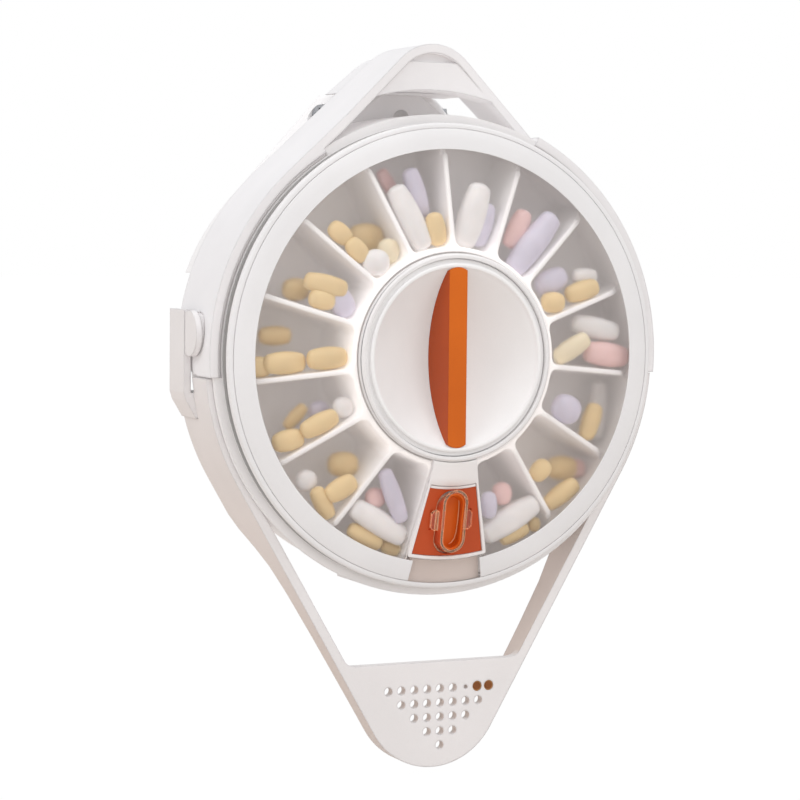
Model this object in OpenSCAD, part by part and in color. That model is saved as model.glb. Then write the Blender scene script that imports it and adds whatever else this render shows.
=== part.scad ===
// Automatic pill dispenser: a flat round drum with a fifteen-cell carousel
// behind a frosted lid, a peaked carrying handle, and a V-shaped bail that
// hinges at the drum's sides and swings back to prop the drum up.
// All lengths are millimetres.  The drum's axis lies along Y and the front
// faces -Y.  Pieces are described about the drum's centre and then moved so
// that the origin is the hanging hole, on the rear face.

/* [Drum] */
// Outer radius of the drum housing
drum_r = 68.5; // [68.3:0.1:68.8]
// Depth from the lid's face to the back of the drum
drum_d = 31; // [30.6:0.1:31.4]
// Depth from the lid's face to the rear face
back_d = 50; // [49.6:0.1:51]
// Inner radius of the drum wall
bore_r = 63.9; // [63.8:0.05:64.0]

/* [Lid] */
// Outer radius of the clear lid
lid_r = 66; // [65.6:0.1:66]
// How far the lid's face rises per millimetre towards the knob
lid_cone = 0.19; // [0.18:0.005:0.2]
// Thickness of the lid's face
lid_t = 1.5; // [1.4:0.1:1.5]
// Inner radius of the white ring round the window
ring_r = 58.6; // [58:0.1:59.2]
// Radius of the hole for the knob
lid_hole_r = 27.9; // [27.7:0.1:28.1]

/* [Knob] */
// Radius of the knob's rim
knob_r = 26.6; // [26:0.1:26.8]
// How far the rim stands in front of the lid
knob_out = 7.4; // [7.2:0.1:7.6]
// Radius of the spherical dish in the knob
dish_r = 35.2; // [35:0.1:36]
// Width of the grip at its front
fin_w = 5.6; // [5:0.1:6.4]

/* [Carousel] */
// Number of cells
cells = 15; // [15]
// Outer radius of the carousel
tray_r = 63.2; // [63.0:0.05:63.3]
// Inner radius of the cells
cell_in = 31; // [30.8:0.1:31.4]
// Outer radius of the cells
cell_out = 61.9; // [61:0.1:62]
// Thickness of the walls between cells
wall = 1.5; // [1.2:0.1:1.8]
// Teeth on the carousel's ring gear
ring_teeth = 64; // [64]
// Teeth on the drive pinion
pinion_teeth = 12; // [12]

/* [Handle] */
// Outer radius of the handle band where it hugs the drum
band_r = 69.8; // [69.7:0.1:70.2]
// Thickness of the band
band_t = 2.6; // [2.4:0.1:2.6]
// Radius of the rounded peak
peak_r = 16.9; // [16:0.1:18]
// Height of the peak's centre above the drum's centre
peak_z = 71.8; // [71:0.1:73]
// Underside radius of the arched crossbar
arch_r = 75.6; // [75:0.1:76]

/* [Bail] */
// Outer radius of the bail's arms
bail_r = 70.2; // [70:0.1:70.4]
// Thickness of the bail's arms
bail_t = 2.8; // [2.6:0.1:2.8]
// Radius of the rounded lower tip
tip_r = 21.3; // [20:0.1:22]
// Depth of the lower tip's centre below the drum's centre
tip_z = 97.6; // [97:0.1:99]
// Diameter of the holes in the perforated plate
perf_d = 2.5; // [2:0.1:2.6]
// Height of the bail's pivot above the drum's centre
piv_z = 6.5; // [6.4:0.1:6.6]
// Depth of the bail's pivot behind the lid's face
piv_y = 15; // [14.9:0.1:15.1]

/* [Mounting] */
// Radius of the hanging hole
hang_r = 2.6; // [2.2:0.1:2.8]
// Height of the hanging hole above the drum's centre
hang_z = 68.3; // [68:0.1:68.8]

/* [Hidden] */
big = 400;
FN = 160;
band_in = band_r - band_t;         // inner radius of the handle band
seat_r = band_in - 0.05;           // drum radius under the band
arm_in = bail_r - bail_t;          // inner radius of the bail's arms
relief_r = 65.6;                   // drum radius behind the swinging arms
lid_skirt = 4.2;                   // depth of the lid's rim
front_y = 4.6;                     // front edge of the drum housing
bulk_y = drum_d - 2;               // front face of the bulkhead
tray_cone = 0.23;                  // slope of the carousel's front edges
function lid_y(r) = -lid_cone*(lid_r - r);      // front of the lid at radius r
function tray_y(r) = tray_cone*(r - 50);      // front of the carousel at radius r
floor_y = 19.4;                    // bottom of the cells
tray_back = 21;                    // back of the carousel's floor
gm = 1.25;                         // gear module
ring_pr = gm*ring_teeth/2;         // pitch radius of the ring gear
pin_pr = gm*pinion_teeth/2;        // pitch radius of the pinion
mot_a = 10*360/ring_teeth;         // direction of the motor from the centre
mot_x = (ring_pr + pin_pr)*cos(mot_a);
mot_z = (ring_pr + pin_pr)*sin(mot_a);
rear_low = 59;                     // rear housing radius below the ledge
rear_up = 64.8;                    // rear housing radius above the ledge
ledge_z = 22.8;
rear_wall = 2;
ex_a = 11.1;                       // half angle of the exit hatch
scr = [[46, 32], [-46, 32], [37, -34], [-37, -34]];
brd = [[-37, 29], [2.5, 29], [-20, 49.5]];
sph_y = -knob_out + 0.1 - sqrt(dish_r*dish_r - 25.6*25.6);
perf_z = 96.2;                     // top row of perforations
hinge_y = 0.9;                    // exit hatch's hinge, behind the lid's face
hinge_z = -38.3;

// ---- helpers ---------------------------------------------------------
module place() { translate([0, -back_d, -hang_z]) children(); }
// extrudes an X-Z outline from depth y0 to y1
module yext(y0, y1) { translate([0, y1, 0]) rotate([90, 0, 0]) linear_extrude(y1 - y0) children(); }
module ycyl(r, y0, y1, x = 0, z = 0, n = 48) { translate([x, y1, z]) rotate([90, 0, 0]) cylinder(r = r, h = y1 - y0, $fn = n); }
module xcyl(r, x0, x1, y, z, n = 48) { translate([x0, y, z]) rotate([0, 90, 0]) cylinder(r = r, h = x1 - x0, $fn = n); }
module sides() { children(); mirror([1, 0, 0]) children(); }
module pie(a0, a1, r = big) {
  polygon(concat([[0, 0]], [for (i = [0:4]) let(a = a0 + (a1 - a0)*i/4) [r*cos(a), r*sin(a)]]));
}
module ringy(r0, r1, y0, y1, n = FN) { difference() { ycyl(r1, y0, y1, n = n); ycyl(r0, y0 - 1, y1 + 1, n = n); } }
// two circles on the Z axis joined by their common tangents; s is +1 up, -1 down
module drop2d(r1, r2, z, s) {
  b = asin((r1 - r2)/z);
  circle(r = r1, $fn = FN);
  translate([0, s*z]) circle(r = r2, $fn = 96);
  polygon([[r1*cos(b), s*r1*sin(b)], [r2*cos(b), s*(z + r2*sin(b))],
           [-r2*cos(b), s*(z + r2*sin(b))], [-r1*cos(b), s*r1*sin(b)]]);
}
module slot2d(w, h) { translate([0, h/2 - w/2]) circle(r = w/2, $fn = 48); translate([0, -h/2 + w/2]) circle(r = w/2, $fn = 48); square([w, h - w], center = true); }
// radial screw: head at radius r0, tip at radius r1
module rscrew(a, y, r0, r1, rh, rs) {
  translate([0, y, 0]) rotate([0, -a, 0]) {
    translate([r0, 0, 0]) rotate([0, 90, 0]) cylinder(r = rh, h = 1, $fn = 32);
    translate([r0 + 1, 0, 0]) rotate([0, 90, 0]) cylinder(r = rs, h = r1 - r0 - 1, $fn = 32);
  }
}
// body of revolution about the Y axis from points (radius, depth)
module yrev(pts, n = FN) { rotate([90, 0, 0]) rotate_extrude($fn = n) polygon([for (q = pts) [q[0], -q[1]]]); }
// lays what is drawn on the plane y = 0 onto the lid's slope below the knob
module slope() { translate([0, lid_y(46), -46]) rotate([atan(lid_cone), 0, 0]) translate([0, 0, 46]) children(); }
// involute gear outline, with backlash bl along the pitch circle
function inv(a) = tan(a)*180/PI - a;
function half_at(r, rb, rp, z, pa, bl) =
  90/z + inv(pa) - inv(r > rb ? acos(rb/r) : 0) - bl/(2*rp)*180/PI;
function gear_pts(z, m, pa, bl) =
  let(rp = m*z/2, rb = rp*cos(pa), rr = rp - 1.2*m, rt = rp + 0.95*m,
      rs = [rr, max(rb, rr + 0.05), (max(rb, rr) + rt)/2, rt])
  [for (i = [0:z - 1], s = [0:7]) let(k = s < 4 ? s : 7 - s, sg = s < 4 ? -1 : 1,
      h = half_at(rs[k], rb, rp, z, pa, bl), a = 360*i/z + sg*h) rs[k]*[cos(a), sin(a)]];

// ---- drum ------------------------------------------------------------
module band_zone() { difference() { union() { pie(-12, 64); pie(122, 192); } translate([-big, -big - 5.4]) square([2*big, big]); } }
module drum_housing() color([0.93, 0.92, 0.91]) place() difference() {
  union() {
    difference() {
      ycyl(drum_r, front_y, drum_d, n = FN);
      ycyl(bore_r, front_y - 1, bulk_y, n = FN);
      // seat of the handle band, with a shadow groove at its front
      yext(front_y - 1, drum_d + 1) intersection() { difference() { circle(r = 80, $fn = FN); circle(r = seat_r, $fn = FN); } band_zone(); }
      yext(front_y - 1, 6.6) intersection() { difference() { circle(r = 80, $fn = FN); circle(r = 66.2, $fn = FN); } band_zone(); }
      // room for the bail's arms
      sides() yext(6.1, drum_d + 1) intersection() { difference() { circle(r = 80, $fn = FN); circle(r = relief_r, $fn = FN); } polygon([[big, -5.4], [20, -5.4], [20, -big], [big, -big]]); }
      sides() yext(piv_y, drum_d + 1) intersection() { difference() { circle(r = 80, $fn = FN); circle(r = relief_r, $fn = FN); } translate([20, -6]) square([big, 17.6]); }
    }
    // standoffs for the circuit board
    for (p = brd) ycyl(2.6, bulk_y + 1, 38, p[0], p[1], 32);
  }
  // pockets for the bail's pivot bosses, and their pin holes
  sides() xcyl(6.1, 65.4, 80, piv_y, piv_z);
  sides() xcyl(3, 55, 80, piv_y, piv_z);
  // motor shaft, hub post screws, board screws, housing screws
  ycyl(5, bulk_y - 1, drum_d + 1, mot_x, mot_z, 32);
  ycyl(6, bulk_y - 1, drum_d + 1, n = 32);
  for (p = brd) ycyl(1.1, 33, 39, p[0], p[1], 24);
  for (p = scr) ycyl(1.5, bulk_y - 1, drum_d + 1, p[0], p[1], 24);
  for (a = [20, 50, 130, 160]) rscrew(a, 22, 63, 70, 2.4, 1.4);
  for (a = [20, 50, 130, 160]) rscrew(a, 22, 64.1, 70, 2.4, 1.4);
  for (s = [-1, 1]) ycyl(1.5, bulk_y - 1, drum_d + 1, mot_x + s*8.2*cos(mot_a + 90), mot_z + s*8.2*sin(mot_a + 90), 24);
}
module hub_post() color([0.72, 0.73, 0.75]) place() difference() {
  union() {
    ycyl(9.93, 8, bulk_y, n = 64);
    ycyl(20, 27.2, bulk_y, n = 64);
    ycyl(5.95, bulk_y, drum_d + 1.5, n = 32);
  }
  ycyl(5.04, 7, 23, n = 48);
}
module hub_bush() color([0.80, 0.62, 0.30]) place() ringy(9.95, 12, 12, 26.6, 64);

// ---- handle ----------------------------------------------------------
module carry_frame() color([0.95, 0.95, 0.95]) place() {
  difference() {
    union() {
      // band round the upper half of the drum
      yext(4, drum_d) intersection() {
        difference() { circle(r = band_r, $fn = FN); circle(r = band_in, $fn = FN); }
        band_zone();
      }
      // straps that leave the band on its tangents and meet in a rounded peak;
      // their front edge runs back from left to right
      difference() {
        yext(4, drum_d) intersection() {
          difference() { drop2d(band_r, peak_r, peak_z, 1); drop2d(band_in, peak_r - band_t, peak_z, 1); }
          pie(30, 150);
        }
        translate([0, 10, 0]) rotate([0, 0, 11.3]) translate([-big, -big, 0]) cube([2*big, big, big]);
      }
      // arched crossbar under the peak
      difference() {
        yext(4, drum_d + 0.2) intersection() {
          drop2d(band_in + 0.4, peak_r - band_t + 0.4, peak_z, 1);
          translate([-30, 72]) square([60, 83.6 - 72]);
        }
        translate([0, 10.9, 0]) rotate([0, 0, 8.5]) translate([-big, -big, 0]) cube([2*big, big, big]);
        ycyl(arch_r, 0, 22, n = FN);
        translate([-60, 21.9, 0]) cube([120, 40, 75.2]);
      }
      // deep grip behind the peak
      yext(drum_d, 45) intersection() {
        drop2d(band_r, peak_r - 1.9, peak_z, 1);
        translate([-40, 75.2]) square([80, 40]);
      }
    }
    // clearance for the swinging arms, leaving a round tab at each pivot
    sides() difference() {
      translate([40, piv_y, -20]) cube([60, 40, 31.6]);
      xcyl(11.6, 30, 110, piv_y, piv_z, 64);
    }
    sides() xcyl(5.9, 40, 90, piv_y, piv_z, 64);
    for (a = [20, 50, 130, 160]) rscrew(a, 22, 64.1, 68.8, 2.4, 1.4);
  }
}
module frame_screws() color([0.62, 0.63, 0.65]) place() for (a = [20, 50, 130, 160]) rscrew(a, 22, 64.1, 68.75, 2.35, 1.38);

// ---- rear housing ----------------------------------------------------
module rear2d(lo, up, top) {
  circle(r = lo, $fn = FN);
  intersection() { circle(r = up, $fn = FN); translate([-big, top]) square([2*big, big]); }
}
module neck() hull() {
  yext(33, 33.2) polygon([[6, 75.2], [13.4, 69.8], [34, 52], [34, 40], [-34, 40], [-34, 52], [-13.4, 69.8], [-6, 75.2]]);
  yext(back_d - 0.2, back_d) polygon([[19, 75.2], [47.6, 43.8], [46, 36], [-46, 36], [-47.6, 43.8], [-19, 75.2]]);
}
module neck_side(d, r) translate([-20.9, 45.4, 69.6]) rotate([0, 0, 30.5]) rotate([0, -90, 0]) translate([0, 0, -d]) cylinder(r = r, h = 2*d, $fn = 32);
module rear_housing() color([0.90, 0.89, 0.88]) place() difference() {
  union() {
    difference() {
      union() {
        yext(drum_d, back_d) rear2d(rear_low, rear_up, ledge_z);
        neck();
      }
      yext(drum_d - 1, back_d - rear_wall) rear2d(rear_low - rear_wall, rear_up - rear_wall, ledge_z + rear_wall);
    }
    // battery tray, screw posts
    translate([-25.4, 33.6, -50.6]) cube([50.8, back_d - rear_wall - 33.5, 50.6]);
    for (p = scr) ycyl(4.2, drum_d, back_d - 1, p[0], p[1], 32);
  }
  translate([-24, 34.8, -49.4]) cube([48, 40, 48.2]);
  for (p = scr) { ycyl(1.7, drum_d - 1, back_d + 1, p[0], p[1], 24); ycyl(3.1, back_d - 2.4, back_d + 1, p[0], p[1], 32); }
  ycyl(hang_r, 30, back_d + 1, 0, hang_z, 48);
  // power button and sounder openings
  ycyl(4.3, 40, back_d + 1, -8, 36, 48);
  for (x = [-2:2], z = [-2:2]) if (x*x + z*z < 6) ycyl(0.8, 44, back_d + 1, -28 + 2.6*x, 38 + 2.6*z, 16);
  // recesses for the pads and for the two side screws
  for (x = [-30, 30]) ycyl(5, back_d - 0.8, back_d + 1, x, 52, 48);
  for (x = [-24, 24]) ycyl(3.6, back_d - 0.8, back_d + 1, x, -53.8, 48);
  sides() neck_side(3, 2.9);
  sides() neck_side(9, 1.3);
}
module housing_screws() color([0.62, 0.63, 0.65]) place() for (p = scr) {
  difference() { ycyl(2.9, back_d - 2.4, back_d - 0.6, p[0], p[1], 32); translate([p[0] - 0.4, back_d - 1.4, p[1] - 2]) cube([0.8, 2, 4]); translate([p[0] - 2, back_d - 1.4, p[1] - 0.4]) cube([4, 2, 0.8]); }
  ycyl(1.48, bulk_y + 0.3, back_d - 2.4, p[0], p[1], 24);
}
module neck_screws() color([0.55, 0.55, 0.57]) place() sides() {
  difference() {
    translate([-20.9, 45.4, 69.6]) rotate([0, 0, 30.5]) rotate([0, -90, 0]) translate([0, 0, -2.95]) cylinder(r = 2.8, h = 2.6, $fn = 32);
    translate([-20.9, 45.4, 69.6]) rotate([0, 0, 30.5]) rotate([0, -90, 0]) translate([-0.4, -1.8, -1.2]) cube([0.8, 3.6, 3]);
    translate([-20.9, 45.4, 69.6]) rotate([0, 0, 30.5]) rotate([0, -90, 0]) translate([-1.8, -0.4, -1.2]) cube([3.6, 0.8, 3]);
  }
  translate([-20.9, 45.4, 69.6]) rotate([0, 0, 30.5]) rotate([0, -90, 0]) translate([0, 0, -8.6]) cylinder(r = 1.25, h = 5.8, $fn = 24);
}
module rear_pads() color([0.35, 0.35, 0.36]) place() {
  for (x = [-30, 30]) ycyl(4.9, back_d - 0.8, back_d + 0.8, x, 52, 48);
  for (x = [-24, 24]) ycyl(3.5, back_d - 0.8, back_d + 0.8, x, -53.8, 48);
}
module batteries() place() for (i = [0:3]) translate([-16.8 + 11.2*i, 41, -25.3]) mirror([0, 0, i % 2]) {
  color([0.30, 0.32, 0.36]) translate([0, 0, -21.5]) cylinder(r = 5.2, h = 43, $fn = 48);
  color([0.80, 0.80, 0.80]) translate([0, 0, 21.4]) cylinder(r = 1.9, h = 0.9, $fn = 32);
}
module battery_contacts() color([0.78, 0.78, 0.74]) place() for (i = [0:1]) {
  translate([-21 + 22.4*i, 36.5, -1.55]) cube([19.6, 9, 0.3]);
  translate([-21 + 22.4*i, 36.5, -49.35]) cube([19.6, 9, 0.3]);
}
module battery_springs() color([0.78, 0.78, 0.74]) place() for (i = [0:3]) {
  z0 = i % 2 == 0 ? -49.0 : -3.7;
  for (k = [0:2]) translate([-16.8 + 11.2*i, 41, z0 + 0.7*k]) difference() { cylinder(r = 3.4 - 0.5*k, h = 0.71, $fn = 32); translate([0, 0, -1]) cylinder(r = 2.5 - 0.5*k, h = 4, $fn = 32); }
}

// ---- drive and electronics -------------------------------------------
module gear_motor() color([0.66, 0.67, 0.69]) place() difference() {
  union() {
    ycyl(9.9, 33, 45.5, mot_x, mot_z, 64);
    translate([mot_x, 0, mot_z]) rotate([0, -(mot_a + 90), 0]) translate([-11, drum_d, -6]) cube([22, 2.2, 12]);
    ycyl(3, 45.4, 47, mot_x, mot_z, 32);
  }
  ycyl(1.6, 20, 40, mot_x, mot_z, 32);
  for (s = [-1, 1]) ycyl(1.52, 30, 33.3, mot_x + s*8.2*cos(mot_a + 90), mot_z + s*8.2*sin(mot_a + 90), 24);
}
module motor_screws() color([0.62, 0.63, 0.65]) place() for (s = [-1, 1]) {
  ycyl(1.45, bulk_y + 0.3, 33.1, mot_x + s*8.2*cos(mot_a + 90), mot_z + s*8.2*sin(mot_a + 90), 24);
  ycyl(2.1, bulk_y - 1.2, bulk_y, mot_x + s*8.2*cos(mot_a + 90), mot_z + s*8.2*sin(mot_a + 90), 24);
  ycyl(1.45, bulk_y - 0.1, bulk_y + 0.4, mot_x + s*8.2*cos(mot_a + 90), mot_z + s*8.2*sin(mot_a + 90), 24);
}
module motor_shaft() color([0.75, 0.76, 0.78]) place() ycyl(1.5, 21.3, 38, mot_x, mot_z, 32);
module drive_pinion() color([0.85, 0.70, 0.35]) place() difference() {
  translate([mot_x, 0, mot_z]) yext(21.4, 25.4) rotate(mot_a + 180 + 180/pinion_teeth) polygon(gear_pts(pinion_teeth, gm, 22, 0.32));
  ycyl(1.5, 20, 27, mot_x, mot_z, 32);
}
module circuit_board() color([0.12, 0.38, 0.24]) place() difference() {
  yext(38, 39.6) polygon([[-40, 26.2], [6, 26.2], [6, 34], [-2, 46], [-14, 53], [-26, 53], [-40, 44]]);
  for (p = brd) ycyl(1.3, 30, 45, p[0], p[1], 24);
}
module board_chips() color([0.10, 0.10, 0.11]) place() {
  translate([-30, 39.6, 27.6]) cube([9, 1.4, 5]);
  translate([-18, 39.6, 40]) cube([8, 1.4, 8]);
  translate([-11, 39.6, 33]) cube([6, 2, 6]);
  translate([-1, 39.6, 31.8]) cube([5, 4, 4]);
}
module board_screws() color([0.62, 0.63, 0.65]) place() for (p = brd) { ycyl(1.08, 33.5, 39.6, p[0], p[1], 24); ycyl(2, 39.6, 40.8, p[0], p[1], 24); }
module sounder() color([0.08, 0.08, 0.09]) place() difference() { ycyl(5.6, 39.6, 45.6, -28, 38.6, 48); ycyl(1.2, 43, 47, -28, 38.6, 24); }
module pivot_pins() color([0.75, 0.76, 0.78]) place() sides() xcyl(2.99, 63.75, 71.0, piv_y, piv_z);

// ---- carousel --------------------------------------------------------
module carousel_tray() color([0.94, 0.93, 0.93]) place() difference() {
  yrev([[15.05, tray_back], [15.05, floor_y], [cell_in - 1.5, floor_y], [cell_in - 1.5, tray_y(cell_in)], [cell_in, tray_y(cell_in)],
        [cell_in, floor_y], [cell_out, floor_y], [cell_out, tray_y(cell_out)], [tray_r, tray_y(tray_r)], [tray_r, tray_back]]);
  for (i = [0:2]) rotate([0, 120*i + 30, 0]) ycyl(1.05, floor_y - 1, tray_back + 1, 22.5, 0, 24);
}
module cell_walls() color([0.94, 0.93, 0.93]) place() for (i = [0:cells - 1])
  rotate([0, 89.5 - 180/cells - 360*i/cells, 0]) translate([0, 0, -wall/2]) linear_extrude(wall)
    polygon([[cell_in + 0.02, tray_y(cell_in)], [57.6, tray_y(57.6)], [cell_out - 0.05, 8], [cell_out - 0.05, floor_y], [cell_in + 0.02, floor_y]]);
module carousel_hub() color([0.88, 0.88, 0.88]) place() difference() {
  union() { ycyl(15, 10, 26.6, n = 96); ycyl(26, tray_back, 22.6, n = 96); }
  ycyl(12.06, 9, 28, n = 96);
  for (i = [0:2]) rotate([0, 120*i + 30, 0]) ycyl(1.05, 18, 24, 22.5, 0, 24);
}
module ring_gear() color([0.80, 0.80, 0.82]) place() difference() {
  yext(tray_back, 25.2) polygon(gear_pts(ring_teeth, gm, 22, 0.32));
  ycyl(35, tray_back - 1, 26, n = 96);
}
module carousel_screws() color([0.62, 0.63, 0.65]) place() for (i = [0:2]) rotate([0, 120*i + 30, 0]) { ycyl(1, floor_y + 0.1, 22.6, 22.5, 0, 24); ycyl(2, 22.6, 23.8, 22.5, 0, 24); }

// ---- lid -------------------------------------------------------------
module exit_zone(r0, r1, h) difference() { intersection() { circle(r = r1, $fn = FN); pie(-90 - h, -90 + h); } circle(r = r0, $fn = FN); }
module ring_body() yrev([[ring_r, lid_y(ring_r)], [64.4, lid_y(64.4)], [64.4, lid_y(64.4) + 0.7], [ring_r, lid_y(ring_r) + 0.7]]);
module clear_lid() color([0.93, 0.95, 0.97, 0.45]) place() difference() {
  // coned face with a raised lip round the knob and a rim round the outside
  yrev([[lid_r, lid_skirt], [lid_r, 0], [29.1, lid_y(29.1)], [29.0, lid_y(29.1) - 0.4], [lid_hole_r, lid_y(29.1) - 0.4],
        [lid_hole_r, lid_y(lid_hole_r) + lid_t], [64.5, lid_y(64.5) + lid_t], [64.5, lid_skirt]]);
  ring_body();
  slope() yext(-5, 5) exit_zone(36, 57.8, 12.45);
  yext(-9, 3) exit_zone(31.3, 40, 12.45);
  yext(-3, 4) exit_zone(57, 64.4, 10.4);
}
module trim_ring() color([0.96, 0.95, 0.95]) place() difference() {
  ring_body();
  yext(-3, 3) exit_zone(57, 66, 10.4);
}
module exit_frame() color([0.95, 0.94, 0.94]) place() {
  slope() difference() {
    union() {
      yext(0.25, 2.1) difference() { exit_zone(36.5, 57.7, 12.35); exit_zone(36, 56.9, 11.3); }
      yext(1.75, 2.1) difference() { exit_zone(36.9, 58.4, 12.9); exit_zone(36, 56.9, 11.3); }
    }
    xcyl(0.36, -12, 12, hinge_y, hinge_z, 24);
  }
  // white sector above the hatch, level with the lid
  intersection() {
    yrev([[31.35, lid_y(31.35) + 0.1], [36.3, lid_y(36.3) + 0.1], [36.3, lid_y(36.3) + lid_t], [31.35, lid_y(31.35) + lid_t]]);
    yext(-20, 20) pie(-90 - 12.35, -90 + 12.35);
  }
  sides() slope() yext(0.25, 1.4) difference() { exit_zone(36.2, 36.6, 12.35); exit_zone(36, 37, 11.3); }
}
module exit_recess() color([0.84, 0.78, 0.75]) place() difference() {
  intersection() {
    yrev([[57.3, tray_y(57.3) - 1.5], [64.3, tray_y(64.3) - 1.5], [64.3, tray_y(64.3) - 0.4], [57.3, tray_y(57.3) - 0.4]]);
    yext(-20, 20) pie(-90 - 10.3, -90 + 10.3);
  }
  slope() yext(-5, 2.15) exit_zone(36, 57.75, 12.9);
  slope() yext(1.7, 2.15) exit_zone(36, 58.45, 12.95);
}
module wave_washer() color([0.7, 0.7, 0.72]) place() ringy(28.0, 28.8, lid_y(28.8) + lid_t + 0.05, lid_y(28.8) + lid_t + 0.35, 96);
module lid_seal() color([0.70, 0.70, 0.70]) place() ringy(64.6, 65.9, lid_skirt, front_y, 96);

// ---- knob ------------------------------------------------------------
module knob_dish() color([0.96, 0.96, 0.96]) place() difference() {
  union() {
    ycyl(knob_r, -knob_out, -3.7, n = FN);
    ycyl(28.9, -5.1, -3.7, n = FN);
    intersection() { translate([0, sph_y, 0]) sphere(r = dish_r + 1.6, $fn = 96); ycyl(knob_r - 0.5, -4, 8, n = 96); }
    ycyl(8, 2, 6.6, n = 48);
  }
  translate([0, sph_y, 0]) sphere(r = dish_r, $fn = FN);
}
module grip_fin() color([0.80, 0.38, 0.12]) place() intersection() {
  translate([0, sph_y, 0]) sphere(r = dish_r, $fn = FN);
  yext(-knob_out, 8) slot2d(fin_w + 3.4, 50.9);
  // sides widen towards the dish
  translate([0, 0, -40]) linear_extrude(80) polygon([[-fin_w/2, -knob_out], [fin_w/2, -knob_out], [fin_w/2 + 1.6, 6], [-fin_w/2 - 1.6, 6]]);
}
module knob_shaft() color([0.88, 0.88, 0.88]) place() ycyl(4.96, 6.6, 22.4, n = 48);

// ---- exit hatch and its button ---------------------------------------
// stadium outline reaching from z0 down to z1
module stadium(w, z0, z1) translate([0, (z0 + z1)/2]) slot2d(w, z0 - z1);
module button_gap(g) translate([-6.33 - g, -48.8 - g]) square([12.66 + 2*g, 5.6 + 2*g]);
module exit_hatch() color([0.78, 0.34, 0.14]) place() slope() difference() {
  yext(0.3, 1.5) exit_zone(37.2, 56.75, ex_a);
  yext(-1, 3) stadium(9.22, -37.57, -56.28);
  yext(-1, 0.95) button_gap(0.12);
  translate([-10, 1.2, -37.5]) cube([20, 2, 4]);
  sides() xcyl(0.4, 4.9, 12, hinge_y, hinge_z, 24);
}
module hatch_pin() color([0.75, 0.76, 0.78]) place() slope() sides() xcyl(0.35, 5.0, 8.0, hinge_y, hinge_z, 24);
module button_leaf() color([0.75, 0.76, 0.78]) place() slope() {
  translate([-2, 1.98, -55]) cube([4, 0.15, 10]);
  translate([4.9, 1.5, -52]) cube([1.2, 0.63, 3]);
  translate([1.9, 1.98, -52]) cube([4.2, 0.15, 3]);
}
// drafted stadium tube: width w at the plate's back, 1.25 mm narrower at the rim
module tube_end(w, y, k) yext(y - 0.01, y + 0.01) stadium(w - 1.25*k, -38.5 + 1.9*k + (w - 8.95)/2, -56.15 + 1.05*k - (w - 8.95)/2);
module tube(w, y, back) hull() { tube_end(w, back, (1.3 - back)/3.8); tube_end(w, y, (1.3 - y)/3.8); }
module exit_button() color([0.92, 0.86, 0.82, 0.5]) place() slope() {
  difference() { tube(8.95, -2.5, 1.3); tube(7.25, -2.75, 1.6); }
  // side tabs
  sides() yext(-0.9, 0.2) polygon([[4.0, -43.2], [5.5, -43.2], [6.33, -44], [6.33, -48], [5.5, -48.8], [4.0, -48.8]]);
}
module button_core() color([0.72, 0.30, 0.10]) place() slope() difference() { tube(7.15, -1.9, 1.3); tube(6.15, -2.1, 0.8); }

// ---- bail ------------------------------------------------------------
module bail_arm2d() difference() {
  drop2d(bail_r, tip_r, tip_z, -1);
  drop2d(arm_in, tip_r - bail_t, tip_z, -1);
  translate([-big, -5.8]) square([2*big, big]);
}
module perfs() {
  for (row = [0:4]) for (c = [-(4 - row):(4 - row)])
    if (!(row == 0 && c >= 2)) ycyl(perf_d/2, 0, 20, 4.08*c + 2.2, -perf_z - 4.12*row, 24);
  ycyl(0.6, 0, 20, 10.4, -perf_z, 24);
  for (x = [14.1, 17.8]) ycyl(1.5, 0, 20, x, -perf_z, 32);
}
module bail_frame() color([0.95, 0.94, 0.94]) place() {
  difference() {
    union() {
      intersection() {
        yext(0, 60) bail_arm2d();
        // side outline: deep beside the drum, shallow below it
        rotate([0, -90, 0]) translate([0, 0, -100]) linear_extrude(200)
          polygon([[-5, 6.5], [-5, 17.4], [-10, 17.4], [-10, 30], [-46, 30], [-50, 27.6], [-55, 22], [-60, 18],
                   [-68, 15.8], [-80, 14.6], [-100, 13.6], [-130, 13.2], [-130, 6.5]]);
      }
      // perforated plate across the tip
      yext(6.5, 9.2) intersection() { drop2d(arm_in + 0.5, tip_r - bail_t + 0.5, tip_z, -1); translate([-60, -148.3]) square([120, 60]); }
      // rounded corners where the plate meets the arms
      sides() yext(6.5, 9.2) difference() { polygon([[24.5, -88.5], [27.6, -89.2], [28.6, -86.0], [26.6, -85.2]]); translate([24.5, -84.3]) circle(r = 4, $fn = 48); }
      // proud ears, pivot discs and bosses
      sides() {
        translate([70.25, 18, -10.2]) cube([2.05, 12, 23.2]);
        translate([0, 30, 0]) rotate([90, 0, 0]) linear_extrude(12) polygon([[67, -10.2], [72.3, -10.2], [71.6, -12.5], [68.6, -17.5], [65.2, -17.5]]);
        xcyl(6.4, 70.25, 72, piv_y, piv_z, 64);
        xcyl(5.6, 66.6, 70.4, piv_y, piv_z, 64);
      }
    }
    perfs();
    sides() xcyl(3.05, 60, 71.2, piv_y, piv_z);
  }
}
module contact_studs() color([0.48, 0.24, 0.14]) place() for (x = [14.1, 17.8]) ycyl(1.1, 6.7, 9.0, x, -perf_z, 32);
module stud_rings() color([0.62, 0.42, 0.22]) place() for (x = [14.1, 17.8]) difference() { ycyl(1.48, 6.8, 9.1, x, -perf_z, 32); ycyl(1.12, 6, 10, x, -perf_z, 32); }

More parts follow.
